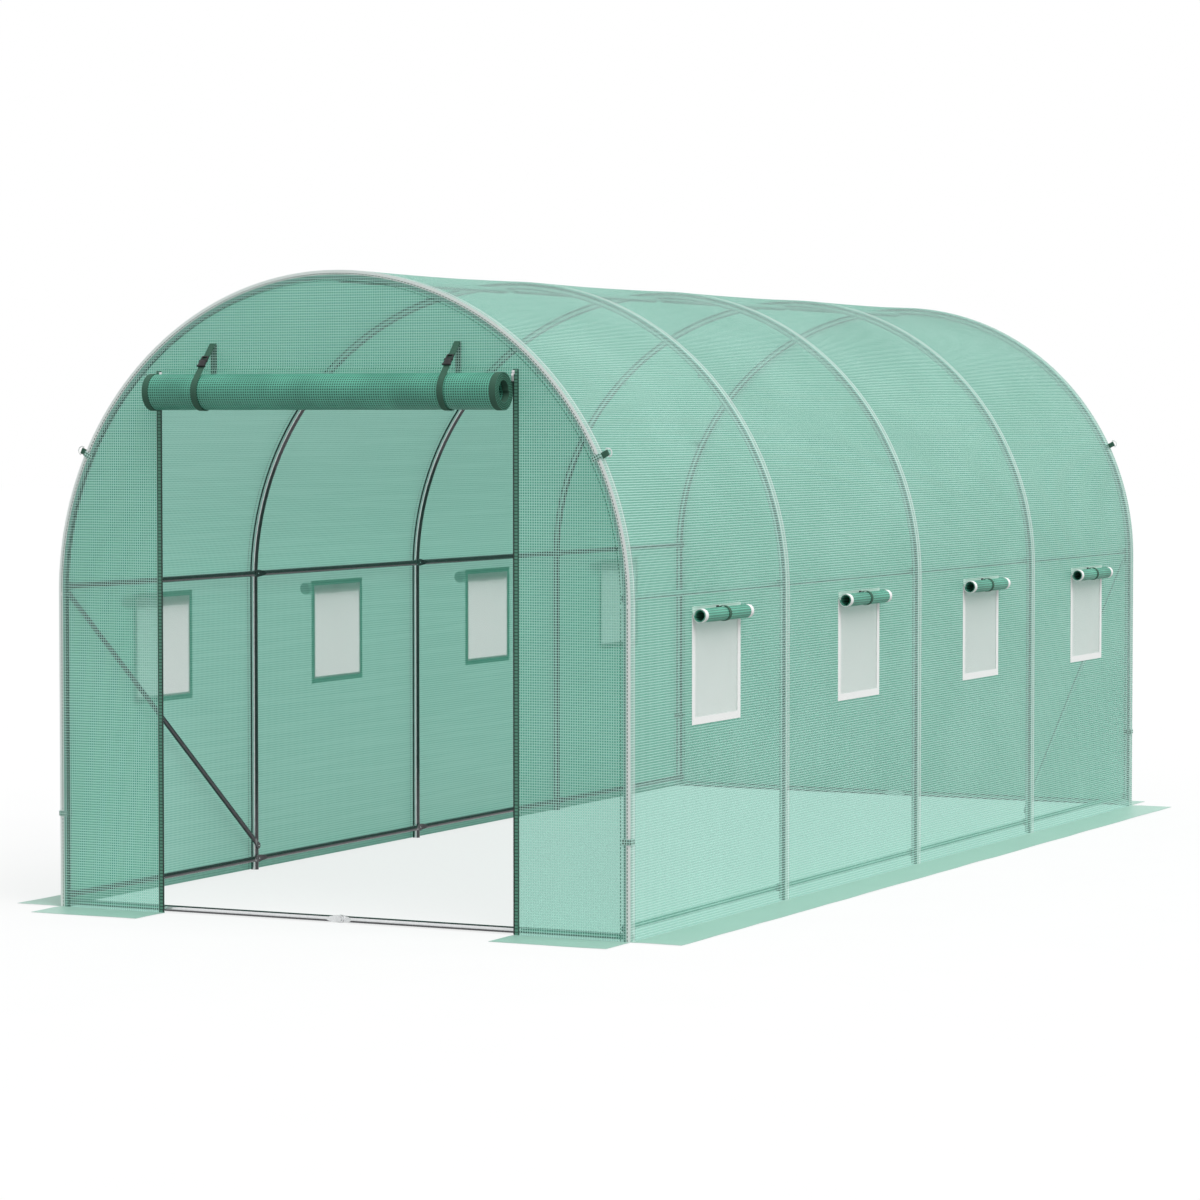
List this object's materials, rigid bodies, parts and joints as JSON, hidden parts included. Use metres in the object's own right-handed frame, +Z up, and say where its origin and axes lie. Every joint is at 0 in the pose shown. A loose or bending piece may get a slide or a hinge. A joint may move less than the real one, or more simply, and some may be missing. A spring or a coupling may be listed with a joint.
{
  "type": "polytunnel greenhouse",
  "caption": "Walk-in tunnel greenhouse: steel hoop frame under a green woven film cover, with a rolled-up front door, roll-up screened side windows and ground skirts.",
  "frame": {"origin": "centre of the footprint on the ground", "axes": "+Z up, +Y along the tunnel away from the door, +X to the right seen from the door end"},
  "size_m": [2.2606, 4.8246, 1.9353],
  "materials": {
    "galvanised_steel": "bright zinc-coated tube",
    "green_film": "see-through woven film with a fine square grid of threads",
    "skirt_film": "paler matt woven film",
    "rolled_film": "wound layers of the woven film",
    "webbing": "dark green woven tape",
    "zip_tape": "dark green zip tape with a coil",
    "hook_tape": "white hook-and-loop tape",
    "insect_screen": "fine open mesh",
    "black_plastic": "moulded",
    "clear_plastic": "clear moulded"
  },
  "bodies": {
    "root": {"hoop_1": "galvanised_steel", "hoop_2": "galvanised_steel", "hoop_3": "galvanised_steel", "hoop_4": "galvanised_steel", "hoop_5": "galvanised_steel", "ridge_beam": "galvanised_steel", "purlin_left": "galvanised_steel", "purlin_right": "galvanised_steel", "base_rail_left": "galvanised_steel", "base_rail_right": "galvanised_steel", "base_rail_front": "galvanised_steel", "base_rail_rear": "galvanised_steel", "brace_front_left": "galvanised_steel", "brace_rear_right": "galvanised_steel", "roof_cover": "green_film", "left_wall": "green_film", "right_wall": "green_film", "front_panel_left": "green_film", "front_panel_right": "green_film", "front_panel_top": "green_film", "rear_panel": "green_film", "skirt_left": "skirt_film", "skirt_right": "skirt_film", "skirt_front_left": "skirt_film", "skirt_front_right": "skirt_film", "skirt_rear": "skirt_film", "door_roll": "rolled_film", "door_straps": "webbing", "door_buckles": "black_plastic", "zip_left": "zip_tape", "zip_right": "zip_tape", "window_screens_left": "insect_screen", "window_screens_right": "insect_screen", "window_tapes_left": "hook_tape", "window_tapes_right": "hook_tape", "window_flaps_left": "rolled_film", "window_flaps_right": "rolled_film", "window_ties_left": "webbing", "window_ties_right": "webbing", "guy_loops": "webbing", "guy_rings": "clear_plastic", "post_ties": "webbing"}
  },
  "joints": []
}
